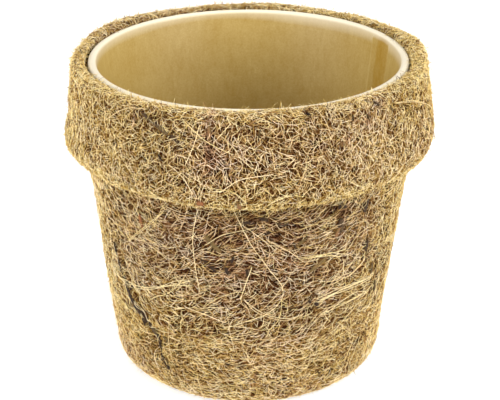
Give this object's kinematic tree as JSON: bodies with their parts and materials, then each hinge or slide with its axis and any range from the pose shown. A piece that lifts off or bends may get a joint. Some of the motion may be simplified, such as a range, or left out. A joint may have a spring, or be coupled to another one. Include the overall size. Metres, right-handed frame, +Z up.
{
  "type": "coir plant pot",
  "caption": "Tapered coir fibre pot with a flared folded cuff and a lift-out kraft paper liner that has a rolled rim.",
  "frame": {"origin": "centre of the underside, where the pot stands", "axes": "+Z up along the pot's axis, towards the mouth; -Y towards the viewer of the picture; +X to the viewer's right"},
  "size_m": [0.1752, 0.1752, 0.1536],
  "materials": {
    "coir_mat": "matted natural fibre, matt",
    "coir_band": "matted natural fibre, frayed at its cut edge, matt",
    "kraft_wall": "smooth unbleached paperboard, satin, pale at the rolled rim",
    "kraft_base": "smooth unbleached paperboard, satin"
  },
  "bodies": {
    "pot": {"coir_shell": "coir_mat", "coir_cuff": "coir_band"},
    "liner": {"liner_wall": "kraft_wall", "liner_base": "kraft_base"}
  },
  "joints": [
    {"name": "liner_lift", "type": "slide", "parent": "pot", "child": "liner", "axis": [0, 0, 1], "range_m": [0, 0.16]}
  ]
}
